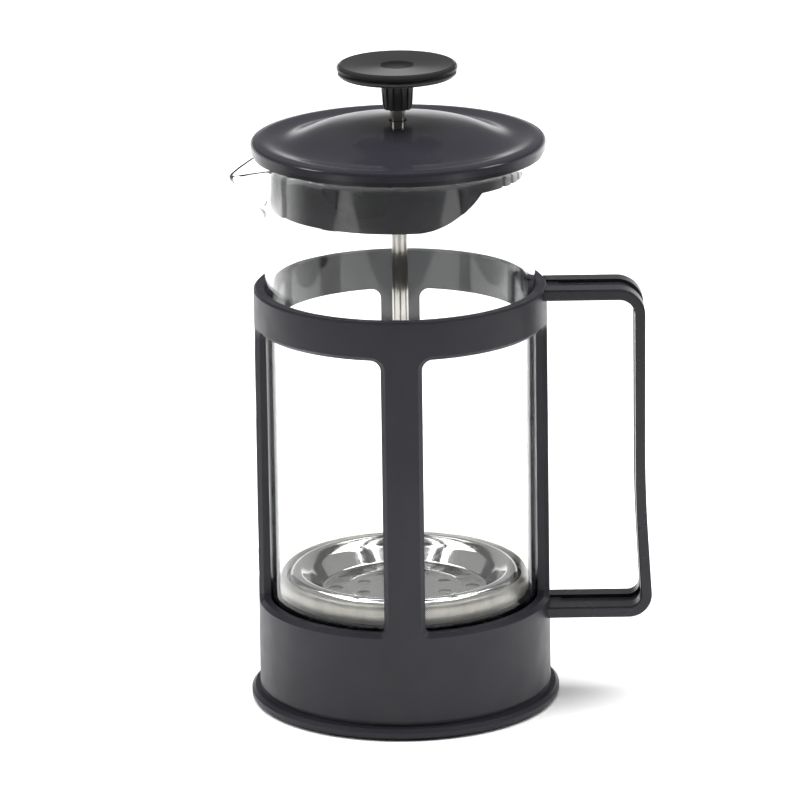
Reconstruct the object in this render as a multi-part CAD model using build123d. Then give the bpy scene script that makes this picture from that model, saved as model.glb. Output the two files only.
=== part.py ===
from build123d import *
from math import cos, radians, sin
import os

# Small plunger coffee press: a clear glass beaker stands in a four-strap plastic frame with a
# loop handle; a lid with a deep skirt closes it and a steel rod carries the filter up and down.
# Millimetres, +Z up. The origin is the centre of the foot's underside, on the beaker's axis.
# The handle points to +X and the beaker's spout to -X.

# ---- frame ----
FRAME_R_BASE = 38.45      # outer radius at z = 0; a slight draft towards the ring
FRAME_R_TOP = 38.15       # outer radius at the ring's top
FRAME_Z0 = 4.4            # underside of the band, on the base cap's shoulder
RING_TOP = 111.5
RING_BOTTOM = 101.1
WINDOW_BOTTOM = 27.95
STRAP_W = 10.6            # width of each of the four straps
FRAME_IN_R = 35.45        # inner radius of ring, straps and the band's upper part
BAND_IN_R = 36.2          # the band's lower part is thinner, over the base cap's spigot
BAND_STEP_Z = 12.0
WINDOW_R_TOP = 2.7        # rounded window corners under the ring
WINDOW_R_BOTTOM = 1.4
WINDOW_BEVEL = 1.1        # bevel round the outside of each window
RING_ROUND = 0.5

# ---- base cap ----
FOOT_R = 40.65
FOOT_H = 2.9
FOOT_ROUND = 0.9
CAP_NECK_R = 37.7         # dark groove between foot and band
CAP_FLOOR = 5.0           # top of the floor the beaker stands on
CAP_SPIGOT_R = 36.1
CAP_SPIGOT_IN = 35.5
CAP_SPIGOT_TOP = 9.5
CAP_RECESS = (28.5, 37.2, 1.2)   # inner radius, outer radius and depth of the groove underneath

# ---- handle ----
HANDLE_W = 16.0
HANDLE_GROOVE_W = 6.0
HANDLE_GROOVE_D = 0.9
HANDLE_EDGE_R = 0.45
# corners of the bar's outer and inner outline (x, z) and the radius at each, from the ring to the band
HANDLE_OUTER = ((63.5, 111.3), (63.3, 57.0), (65.4, 22.05))
HANDLE_INNER = ((60.75, 108.35), (60.8, 53.5), (62.25, 25.0))
HANDLE_OUTER_R = (7.1, 400.0, 6.1)
HANDLE_INNER_R = (4.1, 400.0, 3.1)
HANDLE_ROOT_X = 35.0      # the outline starts inside the frame's wall and is trimmed to it
ARM_TOP_Z = 109.8         # height of the tongue in the ring
ARM_LOW_Z = 23.5          # and of the one in the band
TONGUE_W = 6.0            # tongues that key the handle's ends into the frame's wall
TONGUE_T = 1.8
TONGUE_DEPTH = 1.4

# ---- glass beaker ----
GLASS_R = 35.05
GLASS_WALL = 1.8
GLASS_Z0 = 5.3
GLASS_FLOOR_T = 2.4
GLASS_TOP = 146.4
GLASS_BASE_ROUND = 6.0
SPOUT_LOW = (-33.5, 130.0, 1.0)    # x, z and radius of the spout cone's lower end
SPOUT_HIGH = (-39.0, 147.1, 10.0)  # and of its upper end
SPOUT_LIP_FALL = 27.0              # degrees the lip falls away from the rim

# ---- lid ----
LID_R = 38.2
LID_EDGE_TOP = 150.7
LID_EDGE_BOTTOM = 148.1
LID_EDGE_ROUND = 1.1
LID_CROWN = 155.3
LID_DOME = ((14.0, 154.6), (22.0, 153.0), (27.0, 151.1), (29.5, 150.45), (33.5, 150.6))  # radius, z
LID_INSIDE = ((26.0, 149.0), (20.0, 151.4), (12.0, 152.9), (2.4, 153.4))  # underside, radius and z
LID_HOLE_R = 2.4
INSERT_R = 37.6
INSERT_Z0 = 146.8
SKIRT_R = 32.2
SKIRT_T = 1.8
SKIRT_Z0 = 133.1
SHORT_WALL_Z0 = 141.8     # underside of the comb on the handle side
# x and z along the skirt's curved cut-away, from its lower edge up to the comb
SKIRT_CUT = ((3.0, 133.0), (9.0, 133.7), (14.2, 135.9), (18.6, 139.2), (20.9, 141.8))
PANEL_DEPTH = 0.6
SKIRT_PANELS = ((-90.0, 15.9), (90.0, 15.9), (-141.5, 7.8), (141.5, 7.8))  # centre angle, half width
COMB_STEP, COMB_REACH = 7, 35            # degrees between the comb's slots and to its last slot
COMB_SLOT_W, COMB_SLOT_H = 1.4, 2.8
TUBE_R = 5.6              # socket for the rod guide
TUBE_Z0 = 139.0
GUIDE_R = 3.85
GUIDE_CLEAR = 0.05        # running clearance outside and inside the guide
GUIDE_TOP = 152.0
GUIDE_FLANGE_R = 5.2

# ---- plunger ----
ROD_R = 2.05
ROD_Z0, ROD_Z1 = 23.05, 165.0
KNOB_R = 15.65
KNOB_BODY_R = 15.35
KNOB_Z0 = 166.7
KNOB_SPLIT = 168.5        # joint line between knob body and cap
KNOB_TOP = 170.4
KNOB_DISH = 0.5
DIMPLE_R, DIMPLE_D = 4.6, 0.7
NECK_R_LOW, NECK_R_HIGH = 3.8, 4.4
NECK_Z0 = 158.5
NECK_FLUTES = 14
FLUTE_R = 0.42
PLATE_R = 30.4
PLATE_T = 0.6
PLATE_RIM_Z = 34.4        # top of the filter plate's flat rim
PLATE_FLOOR_Z = 29.0     # top of its dished floor
DISH_R_TOP, DISH_R_FLOOR = 25.2, 22.4
PLATE_HOLES = ((18.0, 12, 1.9, 0.0), (11.5, 8, 1.7, 22.5))  # circle radius, count, hole radius, turn
MESH_R = 32.9
MESH_T = 0.35
MESH_TOP = 34.8
SPRING_R, SPRING_WIRE = 31.75, 0.75
SPRING_Z = 32.2
CROSS_R = 31.4
CROSS_T = 0.9
CROSS_RIM_W, CROSS_HUB_R = 4.5, 9.5
SPOKE_W = 6.5
NUT_R = 5.2
NUT_H = 3.2
COLLAR_R = 5.0
COLLAR_H = 3.0


def ring_of(r_out, r_in, z0, z1):
    """Plain tube between two heights."""
    tube = Pos(0, 0, z0) * Cylinder(r_out, z1 - z0, align=(Align.CENTER, Align.CENTER, Align.MIN))
    hole = Pos(0, 0, z0 - 1) * Cylinder(r_in, z1 - z0 + 2, align=(Align.CENTER, Align.CENTER, Align.MIN))
    return tube - hole


def disc(r, z0, z1):
    """Solid cylinder between two heights."""
    return Pos(0, 0, z0) * Cylinder(r, z1 - z0, align=(Align.CENTER, Align.CENTER, Align.MIN))


def turned(points):
    """Revolve a closed (radius, height) outline about Z."""
    outline = Polyline(*[(r, 0, z) for r, z in points], close=True)
    return revolve(make_face(outline), Axis.Z)


def frame_outer_r(z):
    """Outer radius of the tapered frame at a height."""
    return FRAME_R_BASE + (FRAME_R_TOP - FRAME_R_BASE) * z / RING_TOP


def window_cutter(grow=0.0):
    """Opening between the straps at -Y and +X, with rounded corners."""
    x0 = STRAP_W / 2 - grow
    z0, z1 = WINDOW_BOTTOM - grow, RING_BOTTOM + grow
    height, reach = z1 - z0, 60.0
    middle = (z0 + z1) / 2
    profile = Pos(x0 + reach / 2, middle) * Rectangle(reach, height)
    left = profile.vertices().group_by(Axis.X)[0].sort_by(Axis.Y)
    profile = fillet(left[0], WINDOW_R_BOTTOM + grow)
    left = profile.vertices().group_by(Axis.X)[0].sort_by(Axis.Y)
    profile = fillet(left[-1], WINDOW_R_TOP + grow)
    along_y = extrude(Plane.XZ * profile, amount=reach)
    along_x = mirror(Rot(0, 0, 90) * along_y, Plane.XZ)
    return along_y & along_x


def tongue(z):
    """Key on the handle's end that sits in a pocket of the frame's wall."""
    r = frame_outer_r(z)
    return Pos(r - TONGUE_DEPTH, 0, z) * Box(
        TONGUE_DEPTH + 3, TONGUE_W, TONGUE_T, align=(Align.MIN, Align.CENTER, Align.CENTER))


def make_frame():
    """Ring, four straps and band in one moulding."""
    body = turned([
        (BAND_IN_R, FRAME_Z0), (frame_outer_r(FRAME_Z0), FRAME_Z0),
        (frame_outer_r(RING_TOP - RING_ROUND), RING_TOP - RING_ROUND), (FRAME_R_TOP - RING_ROUND, RING_TOP),
        (FRAME_IN_R, RING_TOP), (FRAME_IN_R, BAND_STEP_Z + 0.7), (BAND_IN_R, BAND_STEP_Z)])
    window = window_cutter()
    for quarter in range(4):
        body -= Rot(0, 0, 90 * quarter) * window
    edges = [e for e in body.edges() if on_window_outside(e)]
    body = chamfer(edges, WINDOW_BEVEL)
    return body - tongue(ARM_TOP_Z) - tongue(ARM_LOW_Z)


def on_window_outside(edge):
    """True for an edge of a window on the frame's outer surface."""
    for at in (0.1, 0.5, 0.9):
        p = edge.position_at(at)
        if abs((p.X ** 2 + p.Y ** 2) ** 0.5 - frame_outer_r(p.Z)) > 0.05:
            return False
        if not WINDOW_BOTTOM - 0.1 < p.Z < RING_BOTTOM + 0.1:
            return False
    return True


def make_base_cap():
    """Foot and floor that plug into the band from below."""
    r_in, r_out, depth = CAP_RECESS
    body = turned([
        (0, 0), (FOOT_R - FOOT_ROUND, 0), (FOOT_R, FOOT_ROUND), (FOOT_R, FOOT_H - FOOT_ROUND),
        (FOOT_R - FOOT_ROUND, FOOT_H), (CAP_NECK_R + 0.6, FOOT_H), (CAP_NECK_R, FOOT_H + 0.5),
        (CAP_NECK_R, FRAME_Z0), (CAP_SPIGOT_R, FRAME_Z0), (CAP_SPIGOT_R, CAP_SPIGOT_TOP),
        (CAP_SPIGOT_IN, CAP_SPIGOT_TOP), (CAP_SPIGOT_IN, CAP_FLOOR), (0, CAP_FLOOR)])
    return body - ring_of(r_out, r_in, -1, depth)


def handle_outline():
    """Closed side view of the loop handle in the XZ plane."""
    def line(corners, radii):
        z_first, z_last = corners[0][1], corners[-1][1]
        ends = (HANDLE_ROOT_X, 0, z_first), (HANDLE_ROOT_X, 0, z_last)
        return FilletPolyline(ends[0], *[(x, 0, z) for x, z in corners], ends[1], radius=radii)
    outer = line(HANDLE_OUTER, HANDLE_OUTER_R)
    inner = line(HANDLE_INNER, HANDLE_INNER_R)
    top = Line(outer @ 0, inner @ 0)
    low = Line(outer @ 1, inner @ 1)
    return make_face(Wire([*outer.edges(), *inner.edges(), top, low]))


def make_handle():
    """Flat bar bent to a loop, grooved along both faces, keyed to ring and band."""
    outline = handle_outline()
    bar = extrude(outline, amount=HANDLE_W / 2, both=True)
    sides = bar.faces().group_by(Axis.Y)
    bar = fillet([*sides[0].edges(), *sides[-1].edges()], HANDLE_EDGE_R)
    core = offset(outline, amount=-HANDLE_GROOVE_D)
    bar -= extrude(outline, amount=HANDLE_GROOVE_W / 2, both=True) - extrude(
        core, amount=HANDLE_GROOVE_W, both=True)
    cone = turned([(0, 0), (FRAME_R_BASE, 0), (FRAME_R_TOP, RING_TOP), (FRAME_R_TOP, 130), (0, 130)])
    return bar - cone + tongue(ARM_TOP_Z) + tongue(ARM_LOW_Z)


def spout_cone(shrink):
    """Cone that swells the beaker's wall into the pouring spout."""
    (x0, z0, r0), (x1, z1, r1) = SPOUT_LOW, SPOUT_HIGH
    low = Plane(origin=(x0, 0, z0)) * Circle(max(r0 - shrink, 0.15))
    high = Plane(origin=(x1, 0, z1)) * Circle(r1 - shrink)
    return loft([low, high])


def make_beaker():
    """Round glass beaker with a drawn spout at -X."""
    r_in = GLASS_R - GLASS_WALL
    shell = disc(GLASS_R, GLASS_Z0, GLASS_TOP + 1)
    shell = fillet(shell.edges().sort_by(Axis.Z)[0], GLASS_BASE_ROUND)
    hollow = disc(r_in, GLASS_Z0 + GLASS_FLOOR_T, GLASS_TOP + 2)
    hollow = fillet(hollow.edges().sort_by(Axis.Z)[0], GLASS_BASE_ROUND - GLASS_WALL)
    shell = shell + spout_cone(0)
    shell = shell - hollow - Pos(0, 0, 0.4) * spout_cone(GLASS_WALL * 0.9)
    above = Pos(0, 0, GLASS_TOP) * Box(120, 120, 20, align=(Align.CENTER, Align.CENTER, Align.MIN))
    lip = Pos(-r_in, 0, GLASS_TOP) * Rot(0, -SPOUT_LIP_FALL, 0) * Box(
        40, 40, 20, align=(Align.MAX, Align.CENTER, Align.MIN))
    return shell - above - lip


def make_lid_cover():
    """Domed glossy cover with a shallow trough inside its flat rim."""
    r = LID_EDGE_ROUND
    top = Spline((LID_HOLE_R, 0, LID_CROWN), *[(x, 0, z) for x, z in LID_DOME],
                 (LID_R - r, 0, LID_EDGE_TOP), tangents=((1, 0, 0), (1, 0, -0.25)))
    nose = ThreePointArc((LID_R - r, 0, LID_EDGE_TOP), (LID_R - 0.29 * r, 0, LID_EDGE_TOP - 0.29 * r),
                         (LID_R, 0, LID_EDGE_TOP - r))
    side = Polyline((LID_R, 0, LID_EDGE_TOP - r), (LID_R, 0, LID_EDGE_BOTTOM),
                    (LID_R - 2.2, 0, LID_EDGE_BOTTOM), (LID_R - 2.2, 0, LID_INSIDE[0][1]),
                    *[(x, 0, z) for x, z in LID_INSIDE], (LID_HOLE_R, 0, LID_CROWN))
    return revolve(make_face(Wire([top, nose, *side.edges()])), Axis.Z)


def skirt_panel(centre_deg, half_w):
    """Shallow arched recess in the skirt, centred on an angle from +X."""
    z0, z1 = SKIRT_Z0 - 2, INSERT_Z0 - 1.6
    profile = Pos(0, (z0 + z1) / 2) * Rectangle(2 * half_w, z1 - z0)
    profile = fillet(profile.vertices().group_by(Axis.Y)[-1], 3.0)
    bar = extrude(Plane.XZ * profile, amount=SKIRT_R + 5)
    bar = Rot(0, 0, centre_deg + 90) * bar
    return bar & ring_of(SKIRT_R + 1, SKIRT_R - PANEL_DEPTH, SKIRT_Z0 - 1, INSERT_Z0)


def make_lid_insert():
    """Under-plate with the skirt, its cut-away and the comb on the handle side."""
    body = disc(INSERT_R, INSERT_Z0, LID_EDGE_BOTTOM)
    body += ring_of(SKIRT_R, SKIRT_R - SKIRT_T, SKIRT_Z0, INSERT_Z0)
    body += disc(TUBE_R, TUBE_Z0, INSERT_Z0)
    for centre, half_w in SKIRT_PANELS:
        body -= skirt_panel(centre, half_w)
    slope = Spline(*[(x, 0, z) for x, z in SKIRT_CUT], tangents=((1, 0, 0), (0.6, 0, 0.8)))
    x_end = 2 * SKIRT_R
    rest = Polyline(slope @ 1, (x_end, 0, SHORT_WALL_Z0), (x_end, 0, SKIRT_Z0 - 5),
                    (SKIRT_CUT[0][0], 0, SKIRT_Z0 - 5), slope @ 0)
    body -= extrude(make_face(Wire([slope, *rest.edges()])), amount=x_end, both=True)
    for angle in range(-COMB_REACH, COMB_REACH + 1, COMB_STEP):
        body -= Rot(0, 0, angle) * Pos(SKIRT_R - SKIRT_T / 2, 0, SHORT_WALL_Z0) * Box(
            2 * SKIRT_T, COMB_SLOT_W, 2 * COMB_SLOT_H)
    return body - disc(GUIDE_R + GUIDE_CLEAR, TUBE_Z0 - 1, LID_EDGE_BOTTOM + 1)


def make_rod_guide():
    """Flanged bush that carries the rod through the lid."""
    body = disc(GUIDE_R, TUBE_Z0 - 0.6, GUIDE_TOP) + disc(GUIDE_FLANGE_R, TUBE_Z0 - 1.6, TUBE_Z0 - 0.35)
    return body - disc(ROD_R + GUIDE_CLEAR, TUBE_Z0 - 3, GUIDE_TOP + 1)


def make_plunger_rod():
    """Polished steel rod."""
    rod = disc(ROD_R, ROD_Z0, ROD_Z1)
    return chamfer(rod.edges(), 0.4)


def make_knob_body():
    """Lower half of the knob with its fluted neck."""
    body = turned([
        (0, NECK_Z0), (NECK_R_LOW, NECK_Z0), (NECK_R_HIGH, KNOB_Z0 - 0.9),
        (NECK_R_HIGH + 1.2, KNOB_Z0 - 0.3),
        (KNOB_BODY_R - 2.4, KNOB_Z0), (KNOB_BODY_R - 0.8, KNOB_Z0 + 0.4), (KNOB_BODY_R, KNOB_Z0 + 1.0),
        (KNOB_BODY_R, KNOB_SPLIT - 0.4), (KNOB_BODY_R - 0.6, KNOB_SPLIT), (0, KNOB_SPLIT)])
    for i in range(NECK_FLUTES):
        a = radians(360 * i / NECK_FLUTES)
        r = NECK_R_LOW + 0.12
        body -= Pos(r * cos(a), r * sin(a), NECK_Z0 - 1) * Cylinder(
            FLUTE_R, KNOB_Z0 - NECK_Z0, align=(Align.CENTER, Align.CENTER, Align.MIN))
    return body - disc(ROD_R, NECK_Z0 - 1, ROD_Z1)


def make_knob_cap():
    """Upper half of the knob: a slightly dished disc with a dimple."""
    body = turned([
        (0, KNOB_SPLIT), (KNOB_BODY_R - 0.6, KNOB_SPLIT), (KNOB_R, KNOB_SPLIT + 0.5),
        (KNOB_R, KNOB_TOP - 0.8), (KNOB_R - 0.35, KNOB_TOP - 0.3), (KNOB_R - 1.0, KNOB_TOP),
        (DIMPLE_R, KNOB_TOP - KNOB_DISH),
        (DIMPLE_R - 0.5, KNOB_TOP - KNOB_DISH - DIMPLE_D), (0, KNOB_TOP - KNOB_DISH - DIMPLE_D)])
    return body


def make_filter_plate():
    """Pressed steel plate: flat rim, dished floor with two circles of holes."""
    t = PLATE_T
    plate = turned([
        (ROD_R, PLATE_FLOOR_Z - t), (DISH_R_FLOOR + 0.3, PLATE_FLOOR_Z - t),
        (DISH_R_TOP + 0.3, PLATE_RIM_Z - t), (PLATE_R, PLATE_RIM_Z - t), (PLATE_R, PLATE_RIM_Z),
        (DISH_R_TOP, PLATE_RIM_Z), (DISH_R_FLOOR, PLATE_FLOOR_Z), (ROD_R, PLATE_FLOOR_Z)])
    for pitch_r, count, hole_r, turn in PLATE_HOLES:
        for i in range(count):
            a = radians(360 * i / count + turn)
            plate -= Pos(pitch_r * cos(a), pitch_r * sin(a), PLATE_FLOOR_Z) * Cylinder(hole_r, 4)
    return plate


def make_mesh_screen():
    """Woven screen: a disc under the plate with its edge folded up round the spring."""
    z0 = PLATE_FLOOR_Z - PLATE_T - MESH_T
    cup = disc(MESH_R, z0, MESH_TOP)
    cup = fillet(cup.edges().sort_by(Axis.Z)[0], 1.2)
    inner = disc(MESH_R - MESH_T, z0 + MESH_T, MESH_TOP + 1)
    inner = fillet(inner.edges().sort_by(Axis.Z)[0], 0.9)
    return cup - inner - disc(ROD_R, z0 - 1, MESH_TOP)


def make_edge_spring():
    """Coil round the filter's edge, drawn as a plain ring."""
    return Pos(0, 0, SPRING_Z) * Torus(SPRING_R, SPRING_WIRE)


def make_cross_plate():
    """Bottom plate with large cut-outs between its spokes."""
    z1 = PLATE_FLOOR_Z - PLATE_T - MESH_T
    plate = disc(CROSS_R, z1 - CROSS_T, z1) - disc(ROD_R, z1 - 5, z1 + 5)
    gap = ring_of(CROSS_R - CROSS_RIM_W, CROSS_HUB_R, z1 - 3, z1 + 3)
    for turn in (0, 60, 120):
        gap -= Pos(0, 0, z1) * Rot(0, 0, turn) * Box(2 * CROSS_R, SPOKE_W, 20)
    return plate - gap


def make_hub_nut():
    """Nut that clamps the filter stack on the rod's end."""
    z1 = PLATE_FLOOR_Z - PLATE_T - MESH_T - CROSS_T
    nut = extrude(Plane.XY.offset(z1 - NUT_H) * RegularPolygon(NUT_R, 6), amount=NUT_H)
    return nut - disc(ROD_R, z1 - NUT_H - 1, z1 + 1)


def make_rod_collar():
    """Collar that the filter plate is clamped up against."""
    body = disc(COLLAR_R, PLATE_FLOOR_Z, PLATE_FLOOR_Z + COLLAR_H)
    body = chamfer(body.edges().sort_by(Axis.Z)[-1], 0.6)
    return body - disc(ROD_R, PLATE_FLOOR_Z - 1, PLATE_FLOOR_Z + COLLAR_H + 1)


NODES = {
    "frame": make_frame, "base_cap": make_base_cap, "handle": make_handle, "beaker": make_beaker,
    "lid_cover": make_lid_cover, "lid_insert": make_lid_insert, "rod_guide": make_rod_guide,
    "knob_cap": make_knob_cap, "knob_body": make_knob_body, "plunger_rod": make_plunger_rod,
    "rod_collar": make_rod_collar, "filter_plate": make_filter_plate, "edge_spring": make_edge_spring,
    "mesh_screen": make_mesh_screen, "cross_plate": make_cross_plate, "hub_nut": make_hub_nut,
}

os.makedirs("parts", exist_ok=True)
for name, make in NODES.items():
    export_step(make(), "parts/" + name + ".step")
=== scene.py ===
import bpy
from math import cos, pi, radians, sin
from mathutils import Matrix, Vector


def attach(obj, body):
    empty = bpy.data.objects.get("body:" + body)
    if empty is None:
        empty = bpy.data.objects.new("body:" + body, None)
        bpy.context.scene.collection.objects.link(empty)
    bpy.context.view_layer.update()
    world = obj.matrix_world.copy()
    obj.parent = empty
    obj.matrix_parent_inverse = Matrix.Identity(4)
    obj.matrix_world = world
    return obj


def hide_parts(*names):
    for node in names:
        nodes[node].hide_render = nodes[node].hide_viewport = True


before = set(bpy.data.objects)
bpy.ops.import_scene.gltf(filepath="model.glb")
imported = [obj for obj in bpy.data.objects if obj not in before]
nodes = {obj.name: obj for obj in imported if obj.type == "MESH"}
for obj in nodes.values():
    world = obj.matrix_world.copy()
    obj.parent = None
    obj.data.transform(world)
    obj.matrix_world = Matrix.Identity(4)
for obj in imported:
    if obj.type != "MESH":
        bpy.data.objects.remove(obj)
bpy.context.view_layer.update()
MM = 0.001
ROUND_SIDES, FINE_SIDES = 144, 240      # of the large round pieces

# ---------------------------------------------------------------- modelling helpers


def deselect_all():
    """Nothing selected, nothing active."""
    if bpy.context.object and bpy.context.object.mode != "OBJECT":
        bpy.ops.object.mode_set(mode="OBJECT")
    bpy.ops.object.select_all(action="DESELECT")


def name_active(name):
    """Name the active object and its mesh."""
    piece = bpy.context.object
    piece.name = piece.data.name = name
    return piece


def apply_modifier(piece, kind, **settings):
    """Add one modifier, set it up and apply it."""
    deselect_all()
    bpy.context.view_layer.objects.active = piece
    piece.select_set(True)
    step = piece.modifiers.new(kind.title(), kind)
    for key, value in settings.items():
        setattr(step, key, value)
    bpy.ops.object.modifier_apply(modifier=step.name)


def lathe(name, rings, sides, cap_start=False, cap_end=False):
    """Draw a ring up through (radius, height) pairs in millimetres by extruding and scaling it."""
    deselect_all()
    r, z = rings[0]
    bpy.ops.mesh.primitive_circle_add(vertices=sides, radius=r * MM, location=(0, 0, z * MM),
                                      fill_type="NGON" if cap_start else "NOTHING")
    bpy.ops.object.mode_set(mode="EDIT")
    bpy.ops.mesh.select_mode(type="EDGE")
    bpy.ops.mesh.select_all(action="SELECT")
    for r1, z1 in rings[1:]:
        bpy.ops.mesh.extrude_edges_move(TRANSFORM_OT_translate={"value": (0, 0, (z1 - z) * MM)})
        bpy.ops.transform.resize(value=(r1 / r, r1 / r, 1), center_override=(0, 0, z1 * MM))
        r, z = r1, z1
    if cap_end:
        bpy.ops.mesh.edge_face_add()
    bpy.ops.mesh.select_all(action="SELECT")
    bpy.ops.mesh.normals_make_consistent(inside=False)
    bpy.ops.object.mode_set(mode="OBJECT")
    bpy.ops.object.transform_apply(location=True, rotation=True, scale=True)
    return name_active(name)


def smooth(piece, angle):
    """Smooth shading across every edge flatter than an angle in degrees."""
    deselect_all()
    bpy.context.view_layer.objects.active = piece
    piece.select_set(True)
    bpy.ops.object.shade_smooth_by_angle(angle=radians(angle))


def keep_selected(test):
    """In edit mode, select only the vertices whose place passes a test (millimetres)."""
    piece = bpy.context.object
    bpy.ops.mesh.select_mode(type="VERT")
    bpy.ops.mesh.select_all(action="DESELECT")
    bpy.ops.object.mode_set(mode="OBJECT")
    for vertex in piece.data.vertices:
        vertex.select = test(vertex.co / MM)
    bpy.ops.object.mode_set(mode="EDIT")


def copies_round(piece, count, turn=0.0):
    """Duplicate the active piece round the Z axis and join the lot."""
    made = [piece]
    for i in range(1, count):
        deselect_all()
        piece.select_set(True)
        bpy.context.view_layer.objects.active = piece
        bpy.ops.object.duplicate()
        twin = bpy.context.object
        twin.matrix_world = Matrix.Rotation(2 * pi * i / count, 4, "Z") @ piece.matrix_world
        made.append(twin)
    deselect_all()
    for one in made:
        one.matrix_world = Matrix.Rotation(turn, 4, "Z") @ one.matrix_world
        one.select_set(True)
    bpy.context.view_layer.objects.active = piece
    bpy.ops.object.transform_apply(location=True, rotation=True, scale=True)
    bpy.ops.object.join()
    return bpy.context.object


def arc(centre_r, centre_z, radius, start, end, steps):
    """(radius, height) pairs along an arc, for a lathe outline; angles in degrees from +R."""
    return [(centre_r + radius * cos(radians(start + (end - start) * i / steps)),
             centre_z + radius * sin(radians(start + (end - start) * i / steps)))
            for i in range(steps + 1)]


# ---------------------------------------------------------------- materials


def new_material(name):
    """Empty node material with a Principled shader; returns (material, nodes, link, shader)."""
    material = bpy.data.materials.new(name)
    material.use_nodes = True
    tree = material.node_tree
    return material, tree.nodes, tree.links.new, tree.nodes["Principled BSDF"]


def add_noise(tree_nodes, link, scale, detail=2.0, stretch=(1, 1, 1)):
    """Noise on Object coordinates; returns its factor socket."""
    where = tree_nodes.new("ShaderNodeTexCoord")
    mapping = tree_nodes.new("ShaderNodeMapping")
    mapping.inputs["Scale"].default_value = stretch
    noise = tree_nodes.new("ShaderNodeTexNoise")
    noise.inputs["Scale"].default_value = scale
    noise.inputs["Detail"].default_value = detail
    link(where.outputs["Object"], mapping.inputs["Vector"])
    link(mapping.outputs["Vector"], noise.inputs["Vector"])
    return noise.outputs["Fac"]


def add_ramp(tree_nodes, link, factor, low, high, start=0.35, end=0.65):
    """Colour ramp between two colours over the middle of a factor."""
    ramp = tree_nodes.new("ShaderNodeValToRGB")
    ramp.color_ramp.elements[0].position, ramp.color_ramp.elements[0].color = start, (*low, 1)
    ramp.color_ramp.elements[1].position, ramp.color_ramp.elements[1].color = end, (*high, 1)
    link(factor, ramp.inputs["Fac"])
    return ramp.outputs["Color"]


def add_range(tree_nodes, link, factor, low, high):
    """Map a factor's middle to a range."""
    span = tree_nodes.new("ShaderNodeMapRange")
    span.inputs["From Min"].default_value, span.inputs["From Max"].default_value = 0.3, 0.7
    span.inputs["To Min"].default_value, span.inputs["To Max"].default_value = low, high
    link(factor, span.inputs["Value"])
    return span.outputs["Result"]


def add_bump(tree_nodes, link, shader, height, strength, distance):
    """Bump the shader's normal by a height socket."""
    bump = tree_nodes.new("ShaderNodeBump")
    bump.inputs["Strength"].default_value = strength
    bump.inputs["Distance"].default_value = distance
    link(height, bump.inputs["Height"])
    link(bump.outputs["Normal"], shader.inputs["Normal"])


def moulded_plastic(name, dark, light, rough, grain, specular):
    """Black moulding: faint colour drift, fine grain from the mould, slightly uneven gloss."""
    material, n, link, shader = new_material(name)
    drift = add_noise(n, link, 35, 3)
    link(add_ramp(n, link, drift, dark, light), shader.inputs["Base Color"])
    link(add_range(n, link, add_noise(n, link, 160, 3), *rough), shader.inputs["Roughness"])
    add_bump(n, link, shader, add_noise(n, link, 2600, 2), grain, 0.0001)
    shader.inputs["Specular IOR Level"].default_value = specular
    return material


def polished_steel(name, dark, light, rough, lines):
    """Stainless steel with the fine turned or drawn lines of its finish."""
    material, n, link, shader = new_material(name)
    link(add_ramp(n, link, add_noise(n, link, 60, 2, lines), dark, light), shader.inputs["Base Color"])
    link(add_range(n, link, add_noise(n, link, 900, 2, lines), *rough), shader.inputs["Roughness"])
    add_bump(n, link, shader, add_noise(n, link, 900, 2, lines), 0.05, 0.0001)
    shader.inputs["Metallic"].default_value = 1.0
    return material


def beaker_glass():
    """Clear borosilicate with the very slight waviness of blown glass."""
    material, n, link, shader = new_material("beaker_glass")
    drift = add_noise(n, link, 18, 1)
    link(add_ramp(n, link, drift, (0.975, 0.985, 0.98), (0.99, 0.995, 0.992)), shader.inputs["Base Color"])
    link(add_range(n, link, drift, 0.0, 0.012), shader.inputs["Roughness"])
    add_bump(n, link, shader, add_noise(n, link, 60, 1, (1, 1, 0.12)), 0.05, 0.0004)
    shader.inputs["Transmission Weight"].default_value = 1.0
    shader.inputs["IOR"].default_value = 1.32
    return material


def woven_steel(name):
    """Fine woven screen: over-and-under wires round the edge and up its side."""
    wires_round, wire_pitch = 380.0, 0.00055
    material, n, link, shader = new_material(name)
    where = n.new("ShaderNodeTexCoord")
    split = n.new("ShaderNodeSeparateXYZ")
    link(where.outputs["Object"], split.inputs["Vector"])

    def maths(operation, a, b=None):
        step = n.new("ShaderNodeMath")
        step.operation = operation
        for socket, value in zip(step.inputs, (a, b)):
            if isinstance(value, (int, float)):
                socket.default_value = value
            elif value is not None:
                link(value, socket)
        return step.outputs["Value"]

    angle = maths("ARCTAN2", split.outputs["Y"], split.outputs["X"])
    warp = maths("SINE", maths("MULTIPLY", angle, wires_round))
    weft = maths("SINE", maths("MULTIPLY", split.outputs["Z"], 2 * pi / wire_pitch))
    weave = maths("MULTIPLY_ADD", maths("MULTIPLY", warp, weft), 0.5)
    weave.node.inputs[2].default_value = 0.5
    cloud = add_noise(n, link, 260, 3, (1, 1, 0.45))
    tint = maths("ADD", maths("MULTIPLY", weave, 0.42), maths("MULTIPLY", cloud, 0.58))
    link(add_ramp(n, link, tint, (0.24, 0.228, 0.205), (0.54, 0.52, 0.475), 0.3, 0.72),
         shader.inputs["Base Color"])
    link(add_range(n, link, cloud, 0.34, 0.5), shader.inputs["Roughness"])
    add_bump(n, link, shader, weave, 0.35, 0.0001)
    shader.inputs["Metallic"].default_value = 0.85
    return material


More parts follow.
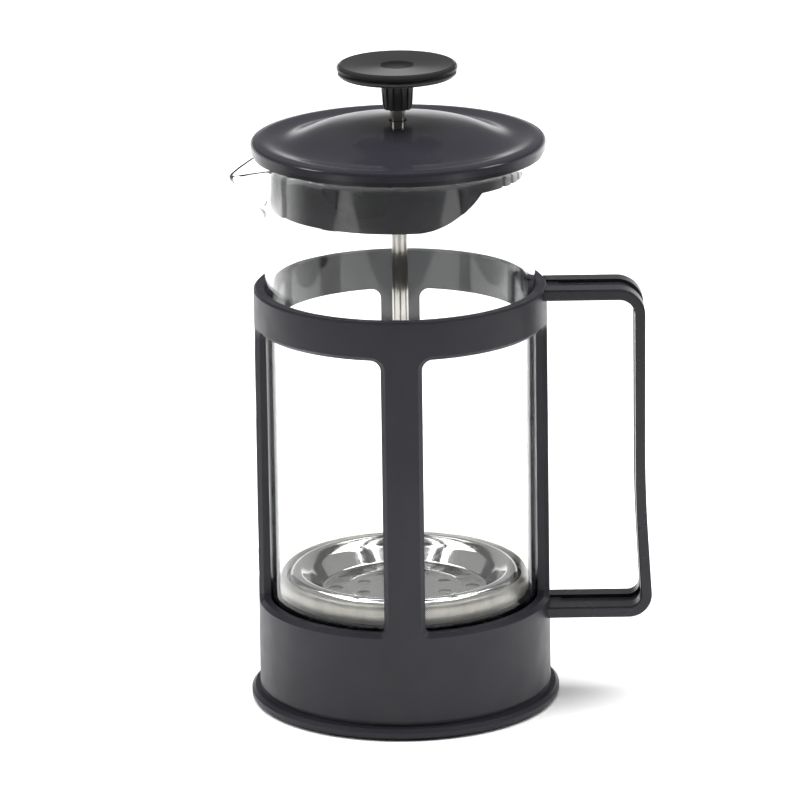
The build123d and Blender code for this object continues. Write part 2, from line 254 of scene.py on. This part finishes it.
# each moulding: darkest and lightest colour, range of roughness, grain, specular level
SATIN_BLACK = moulded_plastic("satin_black_moulding", (0.0148, 0.0143, 0.0194), (0.0188, 0.0183, 0.0243),
                              (0.38, 0.48), 0.12, 0.3)
HANDLE_BLACK = moulded_plastic("handle_black_moulding", (0.0165, 0.016, 0.0195), (0.021, 0.0205, 0.0245),
                               (0.26, 0.32), 0.03, 0.28)
GLOSS_BLACK = moulded_plastic("gloss_black_moulding", (0.0178, 0.017, 0.0218), (0.0225, 0.0215, 0.0272),
                              (0.14, 0.2), 0.006, 0.5)
INSERT_BLACK = moulded_plastic("insert_black_moulding", (0.0105, 0.010, 0.0125), (0.0135, 0.013, 0.016),
                               (0.16, 0.22), 0.004, 0.42)
# the knob is one black moulding made as two copies: the body's colour is lightened as painted light for
# the shade under the cap, and the cap's colour is darkened as painted shade against the light its top
# catches
KNOB_BODY_PAINTED_LIGHT = moulded_plastic("knob_body_painted_light_moulding", (0.058, 0.052, 0.056), (0.070, 0.063, 0.067),
                             (0.3, 0.36), 0.08, 0.5)
KNOB_CAP_PAINTED_SHADE = moulded_plastic("knob_cap_painted_shade_moulding", (0.016, 0.015, 0.0155), (0.020, 0.0187, 0.0192),
                                 (0.08, 0.12), 0.006, 0.16)
GLASS = beaker_glass()
ROD_STEEL = polished_steel("drawn_rod_steel", (0.34, 0.32, 0.295), (0.52, 0.50, 0.47),
                           (0.1, 0.2), (1, 1, 0.02))
PRESSED_STEEL = polished_steel("pressed_plate_steel", (0.54, 0.53, 0.52), (0.63, 0.62, 0.605),
                               (0.06, 0.14), (1, 1, 1))
WOVEN_STEEL = woven_steel("woven_screen_steel")

for node, material in {
        "frame": SATIN_BLACK, "base_cap": SATIN_BLACK, "handle": HANDLE_BLACK, "beaker": GLASS,
        "lid_cover": GLOSS_BLACK, "lid_insert": INSERT_BLACK, "rod_guide": GLOSS_BLACK,
        "knob_cap": KNOB_CAP_PAINTED_SHADE, "knob_body": KNOB_BODY_PAINTED_LIGHT, "plunger_rod": ROD_STEEL,
        "rod_collar": ROD_STEEL, "filter_plate": PRESSED_STEEL, "edge_spring": ROD_STEEL,
        "mesh_screen": WOVEN_STEEL, "cross_plate": PRESSED_STEEL, "hub_nut": ROD_STEEL}.items():
    mesh = nodes[node].data
    mesh.materials.clear()
    mesh.materials.append(material)


def finish_piece(piece, body, node, material):
    """Give a new piece its material and body, and hide the node it stands for."""
    piece.data.materials.clear()
    piece.data.materials.append(material)
    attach(piece, body)
    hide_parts(node)


# ---------------------------------------------------------------- glass beaker

GLASS_R, GLASS_IN_R = 35.05, 33.25
GLASS_Z0, GLASS_FLOOR, GLASS_TOP = 5.3, 7.7, 146.4
FLAT_R = 29.05                      # flat part of the glass's underside and floor
BASE_ROUND, FLOOR_ROUND = 6, 4.2
WALL_RINGS = (30, 60, 90, 115)      # widely spaced below, close together where the spout is drawn
RING_GAP, SPOUT_RINGS = 1.5, 16
SPOUT_PULL = (-9.2, 0, -5.0)
SPOUT_REACH, SPOUT_HALF_W, RIM_BAND = 13.8, 1.6, 1.2
SPOUT_FOOT, SPOUT_ROOT = 126, 18    # height above which, and distance out from which, it is smoothed

wall = (GLASS_R - GLASS_IN_R) / 2
outside = [(FLAT_R, GLASS_Z0)] + arc(FLAT_R, GLASS_Z0 + BASE_ROUND, BASE_ROUND, -75, 0, 5)
outside += [(GLASS_R, z) for z in WALL_RINGS]
outside += [(GLASS_R, 122 + RING_GAP * i) for i in range(SPOUT_RINGS)]
rim = arc(GLASS_R - wall, GLASS_TOP - wall, wall, 0, 180, 6)
inside = [(GLASS_IN_R, 144.5 - RING_GAP * i) for i in range(SPOUT_RINGS)]
inside += [(GLASS_IN_R, z) for z in reversed(WALL_RINGS)]
inside += arc(FLAT_R, GLASS_FLOOR + FLOOR_ROUND, FLOOR_ROUND, 0, -75, 5) + [(FLAT_R, GLASS_FLOOR)]
beaker = lathe("glass_beaker", outside + rim + inside, ROUND_SIDES, cap_start=True, cap_end=True)

# the spout is drawn out and down from the rim, then softened
bpy.ops.object.mode_set(mode="EDIT")
keep_selected(lambda p: p.z > GLASS_TOP - RIM_BAND and p.x < 0 and abs(p.y) < SPOUT_HALF_W)
bpy.ops.transform.translate(value=[v * MM for v in SPOUT_PULL], use_proportional_edit=True,
                            proportional_edit_falloff="LINEAR", proportional_size=SPOUT_REACH * MM)
keep_selected(lambda p: p.z > SPOUT_FOOT and p.x < -SPOUT_ROOT)
bpy.ops.mesh.vertices_smooth(factor=0.5, repeat=4)
bpy.ops.object.mode_set(mode="OBJECT")
smooth(beaker, 60)
finish_piece(beaker, "beaker", "beaker", GLASS)

# ---------------------------------------------------------------- filter plate

PLATE_T = 0.6
PLATE_FLOOR = 29.0
PLATE_HOLES = ((18.0, 12, 1.9, 0.0), (11.5, 8, 1.7, 22.5))    # circle radius, count, hole radius, turn

floor_rings = [(2.1, PLATE_FLOOR), (6.0, PLATE_FLOOR), (14.1, PLATE_FLOOR), (14.5, 29.12), (14.9, 29.2),
               (15.3, 29.12), (15.7, PLATE_FLOOR), (20.6, PLATE_FLOOR)]
dish_wall = arc(21.1, 29.9, 0.9, -75, -35, 3) + [(24.3, 32.2), (24.75, 32.75), (25.35, 33.3), (26.2, 33.9)]
rim_bead = arc(28.1, 32.5, 2.3, 118, 0, 12)
plate = lathe("pressed_filter_plate", floor_rings + dish_wall + rim_bead, ROUND_SIDES)
apply_modifier(plate, "SOLIDIFY", thickness=PLATE_T * MM, offset=-1)
for circle_r, count, hole_r, turn in PLATE_HOLES:
    deselect_all()
    bpy.ops.mesh.primitive_cylinder_add(vertices=24, radius=hole_r * MM, depth=4 * MM,
                                        location=(circle_r * MM, 0, (PLATE_FLOOR - PLATE_T / 2) * MM))
    punch = copies_round(bpy.context.object, count, radians(turn))
    apply_modifier(plate, "BOOLEAN", object=punch, operation="DIFFERENCE", solver="EXACT")
    deselect_all()
    punch.select_set(True)
    bpy.ops.object.delete()
smooth(plate, 30)
apply_modifier(plate, "WEIGHTED_NORMAL", keep_sharp=True)
finish_piece(plate, "plunger", "filter_plate", PRESSED_STEEL)

# ---------------------------------------------------------------- woven screen

SCREEN_T = 0.25
screen = lathe("woven_filter_screen",
               [(2.3, 28.3), (16.0, 28.3), (30.2, 28.3), (31.4, 28.55), (32.2, 29.2), (32.65, 30.2),
                (32.8, 31.4), (32.8, 32.8), (32.6, 33.7), (32.1, 34.15), (31.5, 34.2), (31.0, 33.9),
                (30.8, 33.2)], FINE_SIDES)
apply_modifier(screen, "SOLIDIFY", thickness=SCREEN_T * MM, offset=-1)
smooth(screen, 50)
finish_piece(screen, "plunger", "mesh_screen", WOVEN_STEEL)

# ---------------------------------------------------------------- coil round the filter's edge

COIL_R, COIL_Z, COIL_TURNS = 31.55, 32.2, 140
WIRE_R, COIL_TURN_R = 0.26, 0.52
pitch = 2 * pi * COIL_R / COIL_TURNS
deselect_all()
bpy.ops.mesh.primitive_circle_add(vertices=6, radius=WIRE_R * MM, location=(0, 0, COIL_TURN_R * MM),
                                  rotation=(pi / 2, 0, 0))
coil = name_active("filter_edge_coil")
bpy.ops.object.transform_apply(location=True, rotation=True, scale=True)
apply_modifier(coil, "SCREW", axis="X", angle=2 * pi, screw_offset=pitch * MM, iterations=COIL_TURNS,
               steps=10, render_steps=10, use_merge_vertices=True)
deselect_all()
bpy.ops.curve.primitive_bezier_circle_add(radius=COIL_R * MM, location=(0, 0, 0))
hoop = bpy.context.object
hoop.data.resolution_u = 48
apply_modifier(coil, "CURVE", object=hoop, deform_axis="POS_X")
deselect_all()
hoop.select_set(True)
bpy.ops.object.delete()
deselect_all()
coil.select_set(True)
bpy.context.view_layer.objects.active = coil
coil.location = (0, 0, COIL_Z * MM)
bpy.ops.object.transform_apply(location=True, rotation=True, scale=True)
bpy.ops.object.mode_set(mode="EDIT")
bpy.ops.mesh.select_all(action="SELECT")
bpy.ops.mesh.remove_doubles(threshold=0.02 * MM)
bpy.ops.mesh.normals_make_consistent(inside=False)
bpy.ops.object.mode_set(mode="OBJECT")
smooth(coil, 60)
finish_piece(coil, "plunger", "edge_spring", ROD_STEEL)

# ---------------------------------------------------------------- floor, light and camera

TABLE_FRONT, TABLE_DEPTH = 0.46, 1.4
TABLE_DROP = 0.0002                 # just clear of the press's underside
deselect_all()
bpy.ops.mesh.primitive_plane_add(size=1, location=(0, 0, -TABLE_DROP))
floor = name_active("studio_floor")
bpy.ops.object.mode_set(mode="EDIT")       # a small table that ends a little way in front of the press
bpy.ops.transform.resize(value=(2 * TABLE_FRONT, TABLE_DEPTH, 1), center_override=(0, 0, 0))
bpy.ops.transform.translate(value=(0, TABLE_DEPTH / 2 - TABLE_FRONT, 0))
bpy.ops.object.mode_set(mode="OBJECT")
bpy.ops.object.transform_apply(location=True, rotation=True, scale=True)
FLOOR_PAINT, n, link, shader = new_material("pale_floor")
link(add_ramp(n, link, add_noise(n, link, 3), (0.86, 0.86, 0.86), (0.88, 0.88, 0.88)),
     shader.inputs["Base Color"])
shader.inputs["Roughness"].default_value = 0.9
floor.data.materials.append(FLOOR_PAINT)

ROOM_LEVEL, BACKDROP_LEVEL = 0.16, 1.1
GLASS_LIFT, SCATTER_LIFT = 0.2, 0.75     # extra light on what stands behind the glass
world = bpy.data.worlds.new("studio_air")
bpy.context.scene.world = world
world.use_nodes = True
air, link = world.node_tree.nodes, world.node_tree.links.new
where, split = air.new("ShaderNodeTexCoord"), air.new("ShaderNodeSeparateXYZ")
link(where.outputs["Generated"], split.inputs["Vector"])


def air_band(axis, start, end, low, high):
    """Smooth change of the studio's brightness along one axis."""
    band = air.new("ShaderNodeMapRange")
    band.interpolation_type = "SMOOTHSTEP"
    band.inputs["From Min"].default_value, band.inputs["From Max"].default_value = start, end
    band.inputs["To Min"].default_value, band.inputs["To Max"].default_value = low, high
    link(split.outputs[axis], band.inputs["Value"])
    return band.outputs["Result"]


def air_maths(operation, *values):
    """One sum on sockets or numbers of the studio's air."""
    step = air.new("ShaderNodeMath")
    step.operation = operation
    for socket, value in zip(step.inputs, values):
        if isinstance(value, float):
            socket.default_value = value
        else:
            link(value, socket)
    return step.outputs["Value"]


# dim room all round, a bright backdrop low down behind, and plain white straight ahead and through glass
low_band = air_maths("MULTIPLY", air_band("Y", -0.1, 0.5, 0.0, 1.0), air_band("Z", 0.03, 0.22, 1.0, 0.0))
room = air_maths("MULTIPLY_ADD", low_band, BACKDROP_LEVEL, ROOM_LEVEL)
sight = air.new("ShaderNodeLightPath")
scattered = air_maths("MINIMUM", sight.outputs["Diffuse Depth"], 1.0)
mirrored = air_maths("MINIMUM", sight.outputs["Glossy Depth"], 1.0)
behind_glass = air_maths("MULTIPLY", sight.outputs["Is Transmission Ray"],
                         air_maths("MULTIPLY_ADD", scattered, SCATTER_LIFT, GLASS_LIFT))
untouched = air_maths("SUBTRACT", 1.0, air_maths("MAXIMUM", scattered, mirrored))
plain = air_maths("MAXIMUM", sight.outputs["Is Camera Ray"],
                  air_maths("MULTIPLY", sight.outputs["Is Transmission Ray"], untouched))
air["Background"].inputs["Color"].default_value = (1, 1, 1, 1)
level = air_maths("MAXIMUM", air_maths("ADD", room, behind_glass), plain)
link(level, air["Background"].inputs["Strength"])


def add_softbox(name, place, target, size, power, in_reflections=True):
    """Rectangular area light aimed at a point."""
    lamp = bpy.data.lights.new(name, "AREA")
    lamp.shape = "RECTANGLE"
    lamp.size, lamp.size_y = size
    lamp.energy = power
    holder = bpy.data.objects.new(name, lamp)
    bpy.context.scene.collection.objects.link(holder)
    aim = Vector(target) - Vector(place)
    holder.matrix_world = Matrix.Translation(place) @ aim.to_track_quat("-Z", "Y").to_matrix().to_4x4()
    holder.visible_glossy = in_reflections
    holder.visible_transmission = not in_reflections


PRESS_MIDDLE = (0, 0, 0.1)
add_softbox("softbox_left", (-1.2, -0.3, 0.7), PRESS_MIDDLE, (0.4, 0.4), 3.8)
add_softbox("softbox_right", (1.2, -0.2, 0.7), PRESS_MIDDLE, (0.4, 0.4), 3.4)
add_softbox("softbox_top", (0, 0.2, 1.6), PRESS_MIDDLE, (2.6, 1.6), 86, in_reflections=False)

CAMERA_DISTANCE, CAMERA_HEIGHT = 1.5, 0.51576
CAMERA_TILT, CAMERA_PAN, CAMERA_ROLL = radians(16.1954), radians(0.01734), radians(0.8193)
CAMERA_LENS, SENSOR = 268.91, 36.0
lens = bpy.data.cameras.new("camera")
lens.lens, lens.sensor_width = CAMERA_LENS, SENSOR
lens.clip_start = 0.01
camera = bpy.data.objects.new("camera", lens)
bpy.context.scene.collection.objects.link(camera)
camera.matrix_world = (Matrix.Translation((0, -CAMERA_DISTANCE, CAMERA_HEIGHT))
                       @ Matrix.Rotation(CAMERA_PAN, 4, "Z")
                       @ Matrix.Rotation(pi / 2 - CAMERA_TILT, 4, "X")
                       @ Matrix.Rotation(-CAMERA_ROLL, 4, "Z"))
bpy.context.scene.camera = camera
bpy.context.scene.view_settings.view_transform = "Standard"
